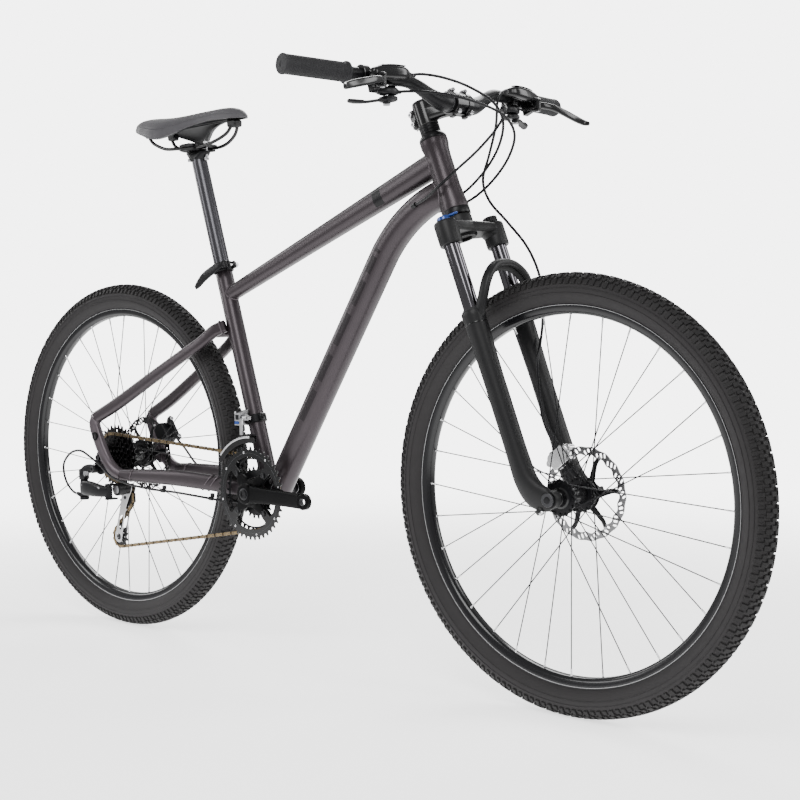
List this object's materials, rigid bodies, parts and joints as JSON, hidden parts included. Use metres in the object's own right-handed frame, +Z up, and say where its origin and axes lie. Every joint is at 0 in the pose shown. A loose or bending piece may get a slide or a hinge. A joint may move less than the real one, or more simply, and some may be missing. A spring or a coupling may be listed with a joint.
{
  "type": "mountain bike",
  "caption": "Hardtail mountain bike with suspension fork, disc brakes, triple crankset, rear derailleur, riser bar and large knobbly tyres.",
  "frame": {"origin": "on the ground, half way between the two axles, in the wheels' plane", "axes": "+X forward, +Y to the rider's left, +Z up"},
  "size_m": [1.908, 0.7442, 1.0855],
  "materials": {
    "frame_paint": "satin metallic anthracite",
    "black_alloy": "satin black",
    "bright_steel": "brushed",
    "silver_alloy": "machined silver",
    "dark_steel": "drawn wire",
    "stanchion_chrome": "dark chrome",
    "chain_steel": "oiled bronze-brown",
    "tyre_rubber": "matte knobbly",
    "cable_jacket": "smooth black jacket",
    "grip_rubber": "ribbed dark grey",
    "saddle_skin": "soft synthetic skin",
    "black_plastic": "moulded",
    "blue_plastic": "gloss"
  },
  "bodies": {
    "frame": {"head_tube": "frame_paint", "top_tube": "frame_paint", "down_tube": "frame_paint", "seat_tube": "frame_paint", "chain_stays": "frame_paint", "seat_stays": "frame_paint", "dropouts": "frame_paint", "headset_bearings": "black_alloy", "bottom_bracket": "black_alloy", "seat_clamp": "black_alloy", "front_derailleur": "bright_steel", "rear_axle": "bright_steel", "rear_caliper": "black_alloy", "derailleur_bracket": "black_alloy", "chain": "chain_steel", "control_cables": "cable_jacket"},
    "steering": {"fork_crown": "black_alloy", "stanchions": "stanchion_chrome", "stem": "black_alloy", "handlebar": "black_alloy", "grips": "grip_rubber", "brake_lever_bodies": "black_alloy", "shifter_bodies": "black_plastic"},
    "fork_slider": {"fork_lowers": "black_alloy", "front_axle": "bright_steel", "front_caliper": "silver_alloy"},
    "front_wheel": {"front_tyre": "tyre_rubber", "front_rim": "black_alloy", "front_spokes": "dark_steel", "front_hub": "black_alloy", "front_rotor": "bright_steel"},
    "rear_wheel": {"rear_tyre": "tyre_rubber", "rear_rim": "black_alloy", "rear_spokes": "dark_steel", "rear_hub": "black_alloy", "rear_rotor": "bright_steel"},
    "cassette": {"cassette": "bright_steel"},
    "crankset": {"right_crank": "black_alloy", "left_crank": "black_alloy", "chainrings": "black_alloy"},
    "derailleur_link": {"derailleur_link": "black_alloy"},
    "derailleur_knuckle": {"derailleur_knuckle": "black_alloy"},
    "derailleur_cage": {"derailleur_cage": "bright_steel"},
    "guide_pulley": {"guide_pulley": "black_plastic"},
    "tension_pulley": {"tension_pulley": "black_plastic"},
    "front_derailleur_cage": {"front_derailleur_cage": "bright_steel"},
    "seat": {"seatpost": "frame_paint", "saddle_clamp": "black_alloy", "saddle_rails": "dark_steel", "saddle_base": "black_plastic", "saddle_cover": "saddle_skin"},
    "seat_clamp_lever": {"seat_clamp_lever": "black_alloy"},
    "front_skewer_lever": {"front_skewer_lever": "bright_steel"},
    "rear_skewer_lever": {"rear_skewer_lever": "bright_steel"},
    "lockout_lever": {"lockout_lever": "blue_plastic"},
    "preload_knob": {"preload_knob": "black_alloy"},
    "right_brake_lever": {"right_brake_lever": "black_alloy"},
    "left_brake_lever": {"left_brake_lever": "black_alloy"},
    "right_shift_lever": {"right_shift_lever": "black_plastic"},
    "left_shift_lever": {"left_shift_lever": "black_plastic"}
  },
  "joints": [
    {"name": "steering", "type": "hinge", "parent": "frame", "child": "steering", "pos_m": [0.53655, 0, 0.35131], "axis": [-0.3665, 0, 0.9304], "range_deg": [-60, 60], "deforming": ["control_cables"]},
    {"name": "fork_travel", "type": "slide", "parent": "steering", "child": "fork_slider", "axis": [-0.3665, 0, 0.9304], "range_m": [0, 0.08], "stiffness_N_per_m": 4500, "springref_m": -0.012, "deforming": ["control_cables"]},
    {"name": "front_wheel_spin", "type": "hinge", "parent": "fork_slider", "child": "front_wheel", "pos_m": [0.584, 0, 0.37], "axis": [0, 1, 0], "continuous": true},
    {"name": "rear_wheel_spin", "type": "hinge", "parent": "frame", "child": "rear_wheel", "pos_m": [-0.584, 0, 0.37], "axis": [0, 1, 0], "continuous": true},
    {"name": "crank_spin", "type": "hinge", "parent": "frame", "child": "crankset", "pos_m": [-0.1335, 0, 0.3255], "axis": [0, 1, 0], "continuous": true, "deforming": ["chain"]},
    {"name": "cassette_spin", "type": "hinge", "parent": "frame", "child": "cassette", "pos_m": [-0.584, 0, 0.37], "axis": [0, 1, 0], "continuous": true},
    {"name": "derailleur_shift", "type": "hinge", "parent": "frame", "child": "derailleur_link", "pos_m": [-0.624, -0.088, 0.31], "axis": [0, 0, 1], "range_deg": [-16, 6], "deforming": ["control_cables", "chain"]},
    {"name": "derailleur_level", "type": "hinge", "parent": "derailleur_link", "child": "derailleur_knuckle", "pos_m": [-0.54, -0.088, 0.3], "axis": [0, 0, 1], "range_deg": [-6, 16]},
    {"name": "cage_swing", "type": "hinge", "parent": "derailleur_knuckle", "child": "derailleur_cage", "pos_m": [-0.53, -0.0385, 0.305], "axis": [0, 1, 0], "range_deg": [-40, 0], "stiffness_Nm_per_rad": 0.3, "springref_deg": 34.38},
    {"name": "guide_pulley_spin", "type": "hinge", "parent": "derailleur_cage", "child": "guide_pulley", "pos_m": [-0.54, -0.0385, 0.284], "axis": [0, 1, 0], "continuous": true},
    {"name": "tension_pulley_spin", "type": "hinge", "parent": "derailleur_cage", "child": "tension_pulley", "pos_m": [-0.56435, -0.0385, 0.198], "axis": [0, 1, 0], "continuous": true},
    {"name": "front_derailleur_shift", "type": "hinge", "parent": "frame", "child": "front_derailleur_cage", "pos_m": [-0.168, -0.034, 0.47], "axis": [1, 0, 0], "range_deg": [-7, 7]},
    {"name": "seatpost_slide", "type": "slide", "parent": "frame", "child": "seat", "axis": [-0.289, 0, 0.9573], "range_m": [-0.18, 0.02]},
    {"name": "seat_clamp_lever_turn", "type": "hinge", "parent": "frame", "child": "seat_clamp_lever", "pos_m": [-0.24252, -0.018, 0.77309], "axis": [-0.289, 0, 0.9573], "range_deg": [0, 120]},
    {"name": "front_skewer_lever_turn", "type": "hinge", "parent": "fork_slider", "child": "front_skewer_lever", "pos_m": [0.584, 0.086, 0.37], "axis": [0.5, 0, -0.866], "range_deg": [0, 120]},
    {"name": "rear_skewer_lever_turn", "type": "hinge", "parent": "frame", "child": "rear_skewer_lever", "pos_m": [-0.584, 0.092, 0.37], "axis": [0.5, 0, -0.866], "range_deg": [0, 120]},
    {"name": "lockout_lever_turn", "type": "hinge", "parent": "steering", "child": "lockout_lever", "pos_m": [0.36638, -0.065, 0.83242], "axis": [-0.3665, 0, 0.9304], "range_deg": [-90, 0]},
    {"name": "preload_knob_turn", "type": "hinge", "parent": "steering", "child": "preload_knob", "pos_m": [0.36638, 0.065, 0.83242], "axis": [-0.3665, 0, 0.9304], "range_deg": [0, 720]},
    {"name": "right_brake_lever_pull", "type": "hinge", "parent": "steering", "child": "right_brake_lever", "pos_m": [0.362, -0.212, 1.052], "axis": [0, 0, -1], "range_deg": [0, 20], "stiffness_Nm_per_rad": 0.6, "springref_deg": -8.59},
    {"name": "left_brake_lever_pull", "type": "hinge", "parent": "steering", "child": "left_brake_lever", "pos_m": [0.362, 0.212, 1.052], "axis": [0, 0, 1], "range_deg": [0, 20], "stiffness_Nm_per_rad": 0.6, "springref_deg": -8.59},
    {"name": "right_shift_lever_push", "type": "hinge", "parent": "steering", "child": "right_shift_lever", "pos_m": [0.338, -0.176, 1.034], "axis": [0, 0, 1], "range_deg": [0, 18], "stiffness_Nm_per_rad": 0.3, "springref_deg": -5.73},
    {"name": "left_shift_lever_push", "type": "hinge", "parent": "steering", "child": "left_shift_lever", "pos_m": [0.338, 0.176, 1.034], "axis": [0, 0, -1], "range_deg": [0, 18], "stiffness_Nm_per_rad": 0.3, "springref_deg": -5.73}
  ],
  "couplings": [
    {"joint": "cassette_spin", "follows": "crank_spin", "ratio": 1.5},
    {"joint": "guide_pulley_spin", "follows": "crank_spin", "ratio": -3.2727},
    {"joint": "tension_pulley_spin", "follows": "crank_spin", "ratio": 3.2727},
    {"joint": "derailleur_level", "follows": "derailleur_shift", "ratio": -1}
  ]
}
